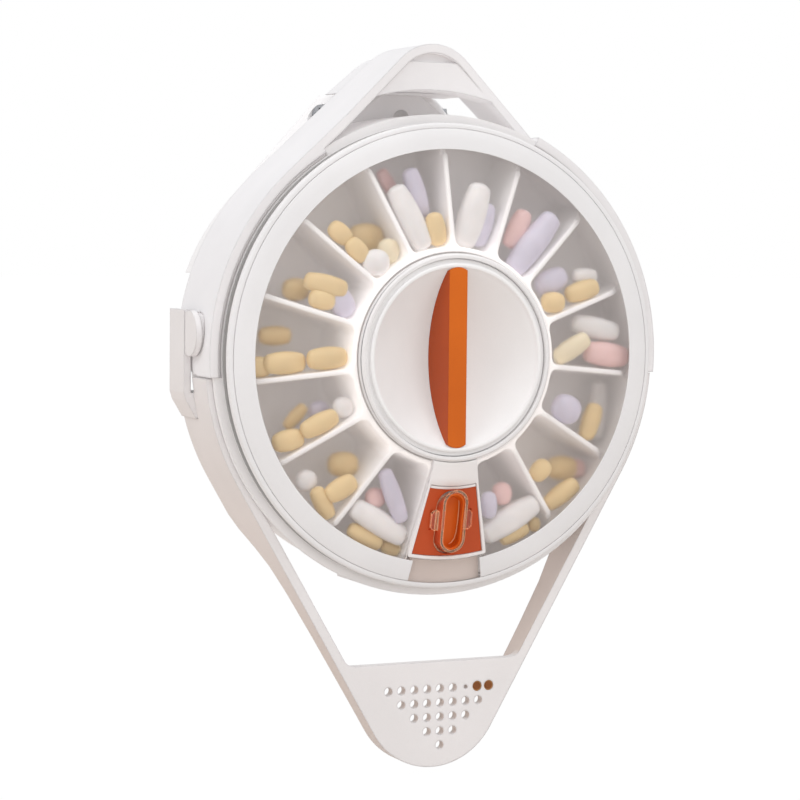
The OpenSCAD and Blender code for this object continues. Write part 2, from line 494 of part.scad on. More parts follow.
// ---- rear covers -----------------------------------------------------
module battery_door() color([0.92, 0.91, 0.90]) place() {
  difference() {
    translate([-23.8, back_d - 1.8, -49.2]) cube([47.6, 1.8, 47.8]);
    for (i = [0:3]) translate([-7, back_d - 0.5, -8.6 + 1.6*i]) cube([14, 1, 0.8]);
  }
  for (x = [-14, 8]) translate([x, back_d - 3, -49]) cube([6, 1.3, 1.2]);
}
module power_button() color([0.80, 0.38, 0.12]) place() { ycyl(4.05, 47.6, back_d + 0.7, -8, 36, 48); ycyl(5.4, 46.2, 47.7, -8, 36, 48); ycyl(2, 42.7, 46.3, -8, 36, 32); }

drum_housing();
hub_post();
hub_bush();
carry_frame();
frame_screws();
rear_housing();
housing_screws();
neck_screws();
rear_pads();
batteries();
battery_contacts();
battery_springs();
gear_motor();
motor_screws();
circuit_board();
board_chips();
board_screws();
sounder();
pivot_pins();
lid_seal();
carousel_tray();
carousel_hub();
ring_gear();
carousel_screws();
cell_walls();
motor_shaft();
drive_pinion();
clear_lid();
trim_ring();
exit_frame();
exit_recess();
wave_washer();
knob_dish();
grip_fin();
knob_shaft();
exit_hatch();
hatch_pin();
button_leaf();
exit_button();
button_core();
bail_frame();
contact_studs();
stud_rings();
battery_door();
power_button();
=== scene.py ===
"""Visual model of the automatic pill dispenser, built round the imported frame.
Lengths in the helpers are millimetres about the drum's centre; D() turns them
into the row's metres, whose origin is the hanging hole on the rear face."""
import bpy, bmesh, math
from mathutils import Vector, Matrix
from mathutils.geometry import tessellate_polygon


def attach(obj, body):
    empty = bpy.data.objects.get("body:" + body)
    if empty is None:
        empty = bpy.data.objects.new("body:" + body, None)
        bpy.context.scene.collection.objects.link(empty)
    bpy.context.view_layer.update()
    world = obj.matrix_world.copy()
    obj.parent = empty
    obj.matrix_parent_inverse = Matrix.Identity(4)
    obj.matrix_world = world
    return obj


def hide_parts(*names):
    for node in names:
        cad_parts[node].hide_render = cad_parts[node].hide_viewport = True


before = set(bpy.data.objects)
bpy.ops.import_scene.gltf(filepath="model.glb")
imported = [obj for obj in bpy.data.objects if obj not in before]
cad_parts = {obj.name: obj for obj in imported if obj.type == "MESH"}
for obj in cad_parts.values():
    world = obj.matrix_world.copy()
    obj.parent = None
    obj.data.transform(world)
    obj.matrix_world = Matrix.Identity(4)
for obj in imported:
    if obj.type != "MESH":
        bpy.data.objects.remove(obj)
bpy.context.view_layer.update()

scene = bpy.context.scene
rad = math.radians


def D(x, y, z):
    return Vector((x, y - 50.0, z - 68.3)) / 1000.0


def lid_y(r):
    return -0.19 * (66.0 - r)


def tray_y(r):
    return 0.23 * (r - 50.0)


# ---------------------------------------------------------------- camera
cam_data = bpy.data.cameras.new("camera")
cam = bpy.data.objects.new("camera", cam_data)
scene.collection.objects.link(cam)
yaw, pitch, roll = rad(24.286), rad(-3.675), rad(0.568)
fwd = Vector((math.sin(yaw) * math.cos(pitch), math.cos(yaw) * math.cos(pitch), math.sin(pitch)))
right0 = Vector((math.cos(yaw), -math.sin(yaw), 0.0))
up0 = right0.cross(fwd)
right = right0 * math.cos(roll) + up0 * math.sin(roll)
up = -right0 * math.sin(roll) + up0 * math.cos(roll)
rot = Matrix((right, up, -fwd)).transposed()
cam.matrix_world = Matrix.Translation(D(-309.7, -654.6, 34.05)) @ rot.to_4x4()
cam_data.sensor_width = 36.0
cam_data.lens = 115.04
cam_data.clip_start = 0.01
cam_data.clip_end = 50.0
scene.camera = cam

# ---------------------------------------------------------------- materials


def new_mat(name):
    m = bpy.data.materials.new(name)
    m.use_nodes = True
    return m, m.node_tree.nodes, m.node_tree.links, m.node_tree.nodes["Principled BSDF"]


def node(N, kind, **vals):
    n = N.new(kind)
    for k, v in vals.items():
        if k in n.inputs:
            n.inputs[k].default_value = v
        else:
            setattr(n, k, v)
    return n


def surface(name, col, rough=0.4, var=0.025, grain=2200.0, bump=0.05, bevel=0.35, edge_highlight=0.03,
            blotch=28.0, metallic=0.0, coat=0.0, sss=0.0, spec=0.5, rough_var=0.12, tint=None, streak=None,
            painted_left_shade=None, painted_glow=None, bounce=None, painted_underside_light=0.0):
    """Moulded or machined surface: blotchy tint, fine grain in bump and
    roughness, softened edges with a painted highlight (lighter colour) along them."""
    m, N, L, b = new_mat(name)
    tc = N.new("ShaderNodeTexCoord")
    src = tc.outputs["Object"]
    if streak:
        mp = node(N, "ShaderNodeMapping")
        mp.inputs["Scale"].default_value = streak
        L.new(src, mp.inputs["Vector"])
        src2 = mp.outputs["Vector"]
    else:
        src2 = src
    big = node(N, "ShaderNodeTexNoise", Scale=blotch, Detail=4.0, Roughness=0.55)
    L.new(src, big.inputs["Vector"])
    fine = node(N, "ShaderNodeTexNoise", Scale=grain, Detail=2.0, Roughness=0.5)
    L.new(src2, fine.inputs["Vector"])
    hi = [min(1.0, c * (1 + var)) for c in col] + [1.0]
    lo = [c * (1 - var * 1.6) for c in col] + [1.0]
    if tint:
        lo = [l * t for l, t in zip(lo, tint)] + [1.0]
    ramp = node(N, "ShaderNodeMapRange")
    ramp.inputs["From Min"].default_value = 0.32
    ramp.inputs["From Max"].default_value = 0.68
    L.new(big.outputs["Fac"], ramp.inputs["Value"])
    mix = N.new("ShaderNodeMix"); mix.data_type = "RGBA"
    mix.inputs[6].default_value = lo
    mix.inputs[7].default_value = hi
    L.new(ramp.outputs["Result"], mix.inputs[0])
    colour = mix.outputs[2]
    # fine speckle in the tint
    sp = node(N, "ShaderNodeMapRange")
    sp.inputs["From Min"].default_value = 0.25
    sp.inputs["From Max"].default_value = 0.75
    sp.inputs["To Min"].default_value = 1.0 - var * 0.8
    sp.inputs["To Max"].default_value = 1.0
    L.new(fine.outputs["Fac"], sp.inputs["Value"])
    mul = node(N, "ShaderNodeVectorMath", operation="SCALE")
    L.new(colour, mul.inputs[0]); L.new(sp.outputs["Result"], mul.inputs["Scale"])
    colour = mul.outputs["Vector"]
    normal = None
    if bevel:
        bv = node(N, "ShaderNodeBevel", samples=4)
        bv.inputs["Radius"].default_value = bevel / 1000.0
        geo = N.new("ShaderNodeNewGeometry")
        dot = node(N, "ShaderNodeVectorMath", operation="DOT_PRODUCT")
        L.new(bv.outputs["Normal"], dot.inputs[0]); L.new(geo.outputs["Normal"], dot.inputs[1])
        edge_highlight_mask = node(N, "ShaderNodeMapRange")
        edge_highlight_mask.inputs["From Min"].default_value = 0.995
        edge_highlight_mask.inputs["From Max"].default_value = 0.80
        edge_highlight_mask.inputs["To Max"].default_value = edge_highlight
        L.new(dot.outputs["Value"], edge_highlight_mask.inputs["Value"])
        # painted highlight: the colour is lightened along the softened edges
        edge_highlight_mix = N.new("ShaderNodeMix"); edge_highlight_mix.data_type = "RGBA"
        edge_highlight_mix.inputs[7].default_value = [min(1.0, c * 1.12 + 0.03) for c in col] + [1.0]
        L.new(edge_highlight_mask.outputs["Result"], edge_highlight_mix.inputs[0]); L.new(colour, edge_highlight_mix.inputs[6])
        colour = edge_highlight_mix.outputs[2]
        normal = bv.outputs["Normal"]
    if painted_left_shade:
        # painted shade: faces that look to the left are darkened and warmed, standing in for the room's darker, warmer
        # side; with a height range the darkening grows towards the bottom
        ge = N.new("ShaderNodeNewGeometry")
        dl = node(N, "ShaderNodeVectorMath", operation="DOT_PRODUCT")
        dl.inputs[1].default_value = painted_left_shade[1]
        L.new(ge.outputs["Normal"], dl.inputs[0])
        ml = node(N, "ShaderNodeMapRange")
        ml.inputs["From Min"].default_value = 0.25
        ml.inputs["From Max"].default_value = 0.9
        L.new(dl.outputs["Value"], ml.inputs["Value"])
        if len(painted_left_shade) > 2:
            sl = N.new("ShaderNodeSeparateXYZ")
            L.new(src, sl.inputs[0])
            mz = node(N, "ShaderNodeMapRange")
            mz.inputs["From Min"].default_value = painted_left_shade[2][0]
            mz.inputs["From Max"].default_value = painted_left_shade[2][1]
            mz.inputs["To Min"].default_value = painted_left_shade[2][2]
            L.new(sl.outputs["Z"], mz.inputs["Value"])
            mm = node(N, "ShaderNodeMath", operation="MULTIPLY")
            L.new(ml.outputs["Result"], mm.inputs[0]); L.new(mz.outputs["Result"], mm.inputs[1])
            ml = mm
        tn = N.new("ShaderNodeMix"); tn.data_type = "RGBA"
        tn.inputs[6].default_value = (1, 1, 1, 1)
        tn.inputs[7].default_value = list(painted_left_shade[0]) + [1.0]
        L.new(ml.outputs[0], tn.inputs[0])
        vm = node(N, "ShaderNodeVectorMath", operation="MULTIPLY")
        L.new(colour, vm.inputs[0]); L.new(tn.outputs[2], vm.inputs[1])
        colour = vm.outputs["Vector"]
    if bounce:
        lpb = N.new("ShaderNodeLightPath")
        mb = N.new("ShaderNodeMix"); mb.data_type = "RGBA"
        fb = node(N, "ShaderNodeMath", operation="MULTIPLY")
        fb.inputs[1].default_value = bounce[1]
        L.new(lpb.outputs["Is Diffuse Ray"], fb.inputs[0])
        L.new(fb.outputs["Value"], mb.inputs[0]); L.new(colour, mb.inputs[6])
        mb.inputs[7].default_value = list(bounce[0]) + [1.0]
        colour = mb.outputs[2]
    if painted_glow:
        # painted light: the tray glows by emission, strongest near the front and near the hub
        sx = N.new("ShaderNodeSeparateXYZ")
        L.new(src, sx.inputs[0])
        gm = node(N, "ShaderNodeMapRange")
        gm.inputs["From Min"].default_value = -0.0555
        gm.inputs["From Max"].default_value = -0.0400
        gm.inputs["To Min"].default_value = painted_glow[0]
        gm.inputs["To Max"].default_value = painted_glow[1]
        L.new(sx.outputs["Y"], gm.inputs["Value"])
        zo = node(N, "ShaderNodeMath", operation="ADD")
        zo.inputs[1].default_value = 0.0683
        L.new(sx.outputs["Z"], zo.inputs[0])
        cx = N.new("ShaderNodeCombineXYZ")
        L.new(sx.outputs["X"], cx.inputs["X"]); L.new(zo.outputs["Value"], cx.inputs["Y"])
        ln = node(N, "ShaderNodeVectorMath", operation="LENGTH")
        L.new(cx.outputs["Vector"], ln.inputs[0])
        rg = node(N, "ShaderNodeMapRange")
        rg.inputs["From Min"].default_value = 0.0315
        rg.inputs["From Max"].default_value = 0.0350
        rg.inputs["To Min"].default_value = 1.0
        rg.inputs["To Max"].default_value = painted_glow[2]
        L.new(ln.outputs["Value"], rg.inputs["Value"])
        gg = node(N, "ShaderNodeMath", operation="MULTIPLY")
        L.new(gm.outputs["Result"], gg.inputs[0]); L.new(rg.outputs["Result"], gg.inputs[1])
        L.new(gg.outputs["Value"], b.inputs["Emission Strength"])
        b.inputs["Emission Color"].default_value = (1.0, 0.95, 0.91, 1.0)
    if painted_underside_light:
        # painted light: faces that look down glow by emission, standing in for the soft light handed back and forth
        # between white undersides
        gu = N.new("ShaderNodeNewGeometry")
        su = N.new("ShaderNodeSeparateXYZ")
        L.new(gu.outputs["Normal"], su.inputs[0])
        mu = node(N, "ShaderNodeMapRange")
        mu.inputs["From Min"].default_value = 0.3
        mu.inputs["From Max"].default_value = -0.8
        mu.inputs["To Max"].default_value = painted_underside_light
        L.new(su.outputs["Z"], mu.inputs["Value"])
        L.new(mu.outputs["Result"], b.inputs["Emission Strength"])
        b.inputs["Emission Color"].default_value = (1.0, 0.95, 0.93, 1.0)
    L.new(colour, b.inputs["Base Color"])
    rr = node(N, "ShaderNodeMapRange")
    rr.inputs["To Min"].default_value = rough - rough_var * 0.5
    rr.inputs["To Max"].default_value = rough + rough_var * 0.5
    mixf = node(N, "ShaderNodeMath", operation="ADD")
    L.new(big.outputs["Fac"], mixf.inputs[0]); L.new(fine.outputs["Fac"], mixf.inputs[1])
    rr.inputs["From Min"].default_value = 0.6
    rr.inputs["From Max"].default_value = 1.4
    L.new(mixf.outputs["Value"], rr.inputs["Value"])
    L.new(rr.outputs["Result"], b.inputs["Roughness"])
    bp = node(N, "ShaderNodeBump")
    bp.inputs["Strength"].default_value = bump
    bp.inputs["Distance"].default_value = 0.0002
    L.new(fine.outputs["Fac"], bp.inputs["Height"])
    if normal:
        L.new(normal, bp.inputs["Normal"])
    L.new(bp.outputs["Normal"], b.inputs["Normal"])
    b.inputs["Metallic"].default_value = metallic
    b.inputs["Specular IOR Level"].default_value = spec
    b.inputs["Coat Weight"].default_value = coat
    if sss:
        b.inputs["Subsurface Weight"].default_value = sss
        b.inputs["Subsurface Radius"].default_value = (0.002, 0.0015, 0.0012)
        b.inputs["Subsurface Scale"].default_value = 1.0
    return m


def clear_plastic(name, col, rough, haze, grain=900.0, ior=1.46, bump=0.05, bevel=0.0, light=0.9, painted_rim_glow=None):
    """Translucent plastic: rough refraction, fine grain, and a free way for
    light on its way to what lies behind."""
    m, N, L, b = new_mat(name)
    tc = N.new("ShaderNodeTexCoord")
    fine = node(N, "ShaderNodeTexNoise", Scale=grain, Detail=3.0, Roughness=0.6)
    L.new(tc.outputs["Object"], fine.inputs["Vector"])
    big = node(N, "ShaderNodeTexNoise", Scale=22.0, Detail=3.0)
    L.new(tc.outputs["Object"], big.inputs["Vector"])
    mix = N.new("ShaderNodeMix"); mix.data_type = "RGBA"
    mix.inputs[6].default_value = [c * 0.985 for c in col] + [1.0]
    mix.inputs[7].default_value = list(col) + [1.0]
    L.new(big.outputs["Fac"], mix.inputs[0])
    L.new(mix.outputs[2], b.inputs["Base Color"])
    rr = node(N, "ShaderNodeMapRange")
    rr.inputs["From Min"].default_value = 0.3
    rr.inputs["From Max"].default_value = 0.7
    rr.inputs["To Min"].default_value = rough * 0.92
    rr.inputs["To Max"].default_value = rough * 1.08
    L.new(fine.outputs["Fac"], rr.inputs["Value"])
    L.new(rr.outputs["Result"], b.inputs["Roughness"])
    bp = node(N, "ShaderNodeBump")
    bp.inputs["Strength"].default_value = bump
    bp.inputs["Distance"].default_value = 0.0001
    L.new(fine.outputs["Fac"], bp.inputs["Height"])
    if bevel:
        bv = node(N, "ShaderNodeBevel", samples=4)
        bv.inputs["Radius"].default_value = bevel / 1000.0
        L.new(bv.outputs["Normal"], bp.inputs["Normal"])
    L.new(bp.outputs["Normal"], b.inputs["Normal"])
    b.inputs["Transmission Weight"].default_value = haze
    b.inputs["IOR"].default_value = ior
    if painted_rim_glow:
        # painted highlight: the edges of the clear part glow by emission, standing in for light gathering along them
        br = node(N, "ShaderNodeBevel", samples=4)
        br.inputs["Radius"].default_value = painted_rim_glow[1] / 1000.0
        ge = N.new("ShaderNodeNewGeometry")
        dr = node(N, "ShaderNodeVectorMath", operation="DOT_PRODUCT")
        L.new(br.outputs["Normal"], dr.inputs[0]); L.new(ge.outputs["Normal"], dr.inputs[1])
        rm = node(N, "ShaderNodeMapRange")
        rm.inputs["From Min"].default_value = 0.985
        rm.inputs["From Max"].default_value = 0.85
        rm.inputs["To Min"].default_value = painted_rim_glow[3]
        rm.inputs["To Max"].default_value = painted_rim_glow[2]
        L.new(dr.outputs["Value"], rm.inputs["Value"])
        b.inputs["Emission Color"].default_value = list(painted_rim_glow[0]) + [1.0]
        L.new(rm.outputs["Result"], b.inputs["Emission Strength"])
    out = [n for n in N if n.type == "OUTPUT_MATERIAL"][0]
    lp = N.new("ShaderNodeLightPath")
    mx = node(N, "ShaderNodeMath", operation="MAXIMUM")
    L.new(lp.outputs["Is Shadow Ray"], mx.inputs[0]); L.new(lp.outputs["Is Diffuse Ray"], mx.inputs[1])
    tr = N.new("ShaderNodeBsdfTransparent")
    tr.inputs["Color"].default_value = (light * col[0], light * col[1], light * col[2], 1.0)
    ms = N.new("ShaderNodeMixShader")
    L.new(mx.outputs["Value"], ms.inputs[0]); L.new(b.outputs["BSDF"], ms.inputs[1]); L.new(tr.outputs["BSDF"], ms.inputs[2])
    L.new(ms.outputs["Shader"], out.inputs["Surface"])
    return m


def lin(r, g, b):
    def f(c):
        c /= 255.0
        return c / 12.92 if c <= 0.04045 else ((c + 0.055) / 1.055) ** 2.4
    return (f(r), f(g), f(b))


M = {
    # painted light: shell, bail and handle faces that look down glow a little
    "shell": surface("shell", lin(246, 244, 244), rough=0.42, bump=0.06, grain=2600, painted_underside_light=0.08),
    "gloss_white": surface("gloss_white", lin(244, 242, 242), rough=0.34, bump=0.035, grain=3000, bevel=0.6),
    # painted shade: the bail's left-facing faces are darkened and warmed, more towards the bottom
    "bail": surface("bail", lin(237, 234, 234), rough=0.36, bump=0.04, grain=3000, bevel=0.7, painted_left_shade=((0.84, 0.735, 0.665), (-1.0, 0.0, 0.0), (-0.065, -0.150, 0.12)), painted_underside_light=0.06),
    "handle": surface("handle", lin(240, 238, 239), rough=0.36, bump=0.04, grain=3000, bevel=0.8, painted_underside_light=0.14),
    "panel": surface("panel", lin(246, 242, 241), rough=0.42, bump=0.04, grain=2800, bevel=0.3),
    "lip": surface("lip", lin(240, 238, 238), rough=0.28, bump=0.03, grain=2800, bevel=0.0, coat=0.4),
    # painted light: the tray glows by emission, most near the front and the hub
    "tray": surface("tray", lin(250, 247, 246), rough=0.5, bump=0.05, bevel=0.0, painted_glow=(0.36, 0.05, 0.30)),
    "tray_edges": surface("tray_edges", lin(247, 245, 244), rough=0.5, bump=0.05, bevel=0.3),
    "ring": surface("ring", lin(238, 237, 238), rough=0.45, bump=0.04, bevel=0.15, edge_highlight=0.0),
    "knob": surface("knob", lin(248, 247, 247), rough=0.38, bump=0.04, grain=2800, bevel=0.0),
    # painted shade: the exit recess is coloured a darker, pinkish grey than the white shell
    "recess": surface("recess", lin(222, 208, 200), rough=0.55, bump=0.08, bevel=0.2, edge_highlight=0.0),
    # painted highlight: the orange, plate and core colours are lightened along their edges
    # painted shade: the orange parts' left-facing faces are darkened
    "orange": surface("orange", lin(218, 106, 12), rough=0.46, bump=0.07, grain=2400, var=0.05, bevel=0.5, edge_highlight=0.25, tint=(1.0, 0.95, 0.9), spec=0.3,
                      painted_left_shade=((0.66, 0.44, 0.5), (-1.0, -0.25, 0.0)), bounce=((0.75, 0.66, 0.62), 0.75)),
    "plate": surface("plate", lin(198, 80, 34), rough=0.5, bump=0.07, grain=2400, var=0.05, bevel=0.2, edge_highlight=0.2, spec=0.35, bounce=((0.75, 0.6, 0.52), 0.5)),
    "core": surface("core", lin(226, 104, 18), rough=0.42, bump=0.05, grain=2400, var=0.05, bevel=0.25, edge_highlight=0.5, spec=0.35),
    # painted highlight: bright peach colour for the line in the button's slot
    "painted_highlight_line": surface("painted_highlight_line", lin(250, 188, 140), rough=0.4, bump=0.04, var=0.04, bevel=0.0),
    "copper": surface("copper", lin(150, 96, 60), rough=0.4, bump=0.2, var=0.12, metallic=0.9, bevel=0.15, blotch=300),
    "bronze": surface("bronze", lin(190, 140, 90), rough=0.35, bump=0.2, var=0.1, metallic=0.9, bevel=0.15, blotch=300),
    "steel": surface("steel", lin(178, 180, 184), rough=0.32, bump=0.25, var=0.05, metallic=1.0, bevel=0.2, blotch=200, streak=(1.0, 12.0, 1.0)),
    "brass": surface("brass", lin(205, 170, 100), rough=0.3, bump=0.2, var=0.06, metallic=1.0, bevel=0.2, blotch=200),
    "rubber": surface("rubber", lin(92, 92, 94), rough=0.8, bump=0.3, var=0.08, grain=1800, bevel=0.3),
    "seal": surface("seal", lin(190, 189, 188), rough=0.75, bump=0.2, var=0.05, bevel=0.1),
    "board": surface("board", lin(44, 112, 80), rough=0.35, bump=0.15, var=0.15, grain=1500, blotch=150, bevel=0.1),
    "chip": surface("chip", lin(38, 38, 41), rough=0.5, bump=0.2, var=0.1, grain=2500, bevel=0.15),
    "can": surface("can", lin(96, 102, 112), rough=0.3, bump=0.1, var=0.06, metallic=0.5, bevel=0.3),
    "lid": clear_plastic("lid", (0.99, 0.985, 0.985), 0.2, 1.0, light=1.0),
    # painted highlight: peach emission along the clear button's edges
    "button": clear_plastic("button", (1.0, 0.74, 0.56), 0.12, 0.97, bevel=0.22, light=0.9, painted_rim_glow=(lin(250, 172, 124), 0.22, 0.8, 0.0)),
}
for nm, cc, rg in (("pill_tan", lin(236, 208, 158), 0.5), ("pill_white", lin(242, 238, 236), 0.42), ("pill_cream", lin(240, 226, 196), 0.46),
                   ("pill_lav", lin(218, 212, 226), 0.4), ("pill_pink", lin(240, 204, 200), 0.45)):
    M[nm] = surface(nm, cc, rough=rg, bump=0.12, grain=3200, var=0.045, blotch=160, bevel=0.0, sss=0.15, rough_var=0.2)

NODE_MAT = {
    "drum_housing": "shell", "hub_post": "steel", "hub_bush": "brass", "carry_frame": "handle", "frame_screws": "steel",
    "rear_housing": "shell", "housing_screws": "steel", "neck_screws": "steel", "rear_pads": "rubber", "batteries": "can",
    "battery_contacts": "steel", "battery_springs": "steel", "gear_motor": "steel", "motor_screws": "steel",
    "circuit_board": "board", "board_chips": "chip", "board_screws": "steel", "sounder": "chip", "pivot_pins": "steel",
    "lid_seal": "seal", "carousel_tray": "tray_edges", "cell_walls": "tray_edges", "carousel_hub": "tray_edges", "ring_gear": "tray_edges",
    "carousel_screws": "steel", "motor_shaft": "steel", "drive_pinion": "brass", "clear_lid": "lid", "trim_ring": "ring",
    "exit_frame": "gloss_white", "exit_recess": "recess", "wave_washer": "steel", "knob_dish": "knob", "grip_fin": "orange",
    "knob_shaft": "tray_edges", "exit_hatch": "plate", "hatch_pin": "steel", "button_leaf": "steel", "exit_button": "button",
    "button_core": "core", "bail_frame": "bail", "contact_studs": "copper", "stud_rings": "bronze",
    "battery_door": "shell", "power_button": "orange",
}


def smooth_by_angle(me, deg=32.0):
    for p in me.polygons:
        p.use_smooth = True
    me.set_sharp_from_angle(angle=rad(deg))


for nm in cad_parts:
    ob = bpy.data.objects.get(nm)
    if ob is None or ob.type != "MESH":
        continue
    mat = M[NODE_MAT.get(nm, "shell")]
    if not ob.material_slots:
        ob.data.materials.append(mat)
    for s in ob.material_slots:
        s.material = mat

# ---------------------------------------------------------------- mesh helpers


def make(name, verts, faces, mat, body, angle=32.0, recalc=True):
    me = bpy.data.meshes.new(name)
    me.from_pydata([D(*v) for v in verts], [], faces)
    bm = bmesh.new(); bm.from_mesh(me)
    bmesh.ops.remove_doubles(bm, verts=bm.verts, dist=1e-7)
    if recalc:
        bmesh.ops.recalc_face_normals(bm, faces=bm.faces)
    bm.to_mesh(me); bm.free()
    smooth_by_angle(me, angle)
    ob = bpy.data.objects.new(name, me)
    scene.collection.objects.link(ob)
    me.materials.append(M[mat])
    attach(ob, body)
    return ob


def lathe_mesh(prof, n=192, closed=True):
    """Verts and faces of a profile of (radius, depth) turned about the drum's axis."""
    V, F = [], []
    k = len(prof)
    for i in range(n):
        a = 2 * math.pi * i / n
        for r, y in prof:
            V.append((r * math.cos(a), y, r * math.sin(a)))
    m = k if closed else k - 1
    for i in range(n):
        j = (i + 1) % n
        for q in range(m):
            w = (q + 1) % k
            F.append((i * k + q, j * k + q, j * k + w, i * k + w))
    return V, F


def arc(cx, cy, r, a0, a1, n):
    return [(cx + r * math.cos(rad(a0 + (a1 - a0) * i / n)), cy + r * math.sin(rad(a0 + (a1 - a0) * i / n))) for i in range(n + 1)]

# ---------------------------------------------------------------- carousel
H, RC, FR, TIP = 0.75, 31.0, 2.4, 57.6


def cell_outline():
    pts = []
    xf = math.sqrt((RC + FR) ** 2 - (H + FR) ** 2)
    a1 = math.degrees(math.atan2(H + FR, xf))
    xt = TIP - H
    for i in range(15):
        w = rad(-77.5 + 24 * i)
        loc = []
        loc += [(xt + H * math.cos(rad(t)), H * math.sin(rad(t))) for t in range(-90, 91, 20)]
        loc += [(xt + (xf - xt) * s / 9.0, H) for s in range(1, 9)]
        end = math.degrees(math.atan2(-(H + FR), -xf)) + 360.0
        loc += [(xf + FR * math.cos(rad(270 + (end - 270) * s / 7.0)), H + FR + FR * math.sin(rad(270 + (end - 270) * s / 7.0))) for s in range(0, 8)]
        for s in range(1, 6):
            t = rad(a1 + (24 - 2 * a1) * s / 6.0)
            loc.append((RC * math.cos(t), RC * math.sin(t)))
        nxt = []
        nxt += [(xf + FR * math.cos(rad(90 + (-end + 360 - 90) * s / 7.0)), -(H + FR) + FR * math.sin(rad(90 + (-end + 360 - 90) * s / 7.0))) for s in range(7, -1, -1)]
        nxt += [(xt + (xf - xt) * s / 9.0, -H) for s in range(8, 0, -1)]
        c, s_ = math.cos(w), math.sin(w)
        pts += [(x * c - t * s_, x * s_ + t * c) for x, t in loc]
        c, s_ = math.cos(w + rad(24)), math.sin(w + rad(24))
        pts += [(x * c - t * s_, x * s_ + t * c) for x, t in nxt]
    return pts


def build_cells():
    P = cell_outline()
    n = len(P)
    nrm = []
    for i in range(n):
        (x0, z0), (x1, z1) = P[i - 1], P[(i + 1) % n]
        dx, dz = x1 - x0, z1 - z0
        l = math.hypot(dx, dz)
        nrm.append((dz / l, -dx / l))
    rings = [(-0.52, 0.0), (-0.34, 0.04), (-0.17, 0.14), (-0.05, 0.3), (0.0, 0.55), (0.3, None)]
    V, F = [], []
    for off, dy in rings:
        for (x, z), (nx, nz) in zip(P, nrm):
            X, Z = x + nx * off, z + nz * off
            V.append((X, 19.4 if dy is None else tray_y(math.hypot(x, z)) + dy, Z))
    for k in range(len(rings) - 1):
        for i in range(n):
            j = (i + 1) % n
            F.append((k * n + i, k * n + j, (k + 1) * n + j, (k + 1) * n + i))
    # top land between the outline and the hub's bore
    m = 180
    base = len(V)
    bore = [(29.95, 0.0), (29.62, 0.12), (29.5, 0.45)]
    for r, dy in bore:
        for i in range(m):
            a = 2 * math.pi * i / m
            V.append((r * math.cos(a), tray_y(29.95) + dy, r * math.sin(a)))
    for k in range(2):
        for i in range(m):
            j = (i + 1) % m
            F.append((base + k * m + i, base + (k + 1) * m + i, base + (k + 1) * m + j, base + k * m + j))
    outer = [Vector((V[i][0], V[i][2], 0)) for i in range(n)]
    hole = [Vector((V[base + i][0], V[base + i][2], 0)) for i in range(m)]
    idx = list(range(n)) + [base + i for i in range(m)]
    for t in tessellate_polygon([outer, hole]):
        F.append(tuple(idx[q] for q in t))
    # hub wall, floor, outer rim and back as one turned profile
    to = tray_y(61.9)
    prof = [(29.5, tray_y(29.95) + 0.45), (29.5, 19.4), (31.0, 19.4), (60.9, 19.4)] + arc(60.9, 18.4, 1.0, 90, 0, 5)[1:] + \
           [(61.9, to + 0.4), (62.0, to + 0.1), (62.3, to), (62.9, to + 0.15), (63.15, to + 0.4), (63.2, 21.0), (15.05, 21.0), (15.05, 19.4), (29.5, 19.4)]
    lv, lf = lathe_mesh(prof, 180, closed=False)
    o = len(V); V += lv; F += [tuple(q + o for q in f) for f in lf]
    # outer feet of the dividers, below the ring
    for i in range(15):
        w = rad(-77.5 + 24 * i); c, s_ = math.cos(w), math.sin(w)
        side = [(57.0, 3.2), (58.6, 3.4), (61.95, 8.0), (61.95, 19.4), (57.0, 19.4)]
        o = len(V)
        for t in (-0.74, 0.74):
            for x, y in side:
                V.append((x * c - t * s_, y, x * s_ + t * c))
        F += [tuple(o + q for q in range(4, -1, -1)), tuple(o + 5 + q for q in range(5))]
        F += [(o + q, o + (q + 1) % 5, o + 5 + (q + 1) % 5, o + 5 + q) for q in range(5)]
    ob = make("cell_tray", V, F, "tray", "carousel", angle=40)
    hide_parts("carousel_tray", "cell_walls")
    return ob


build_cells()

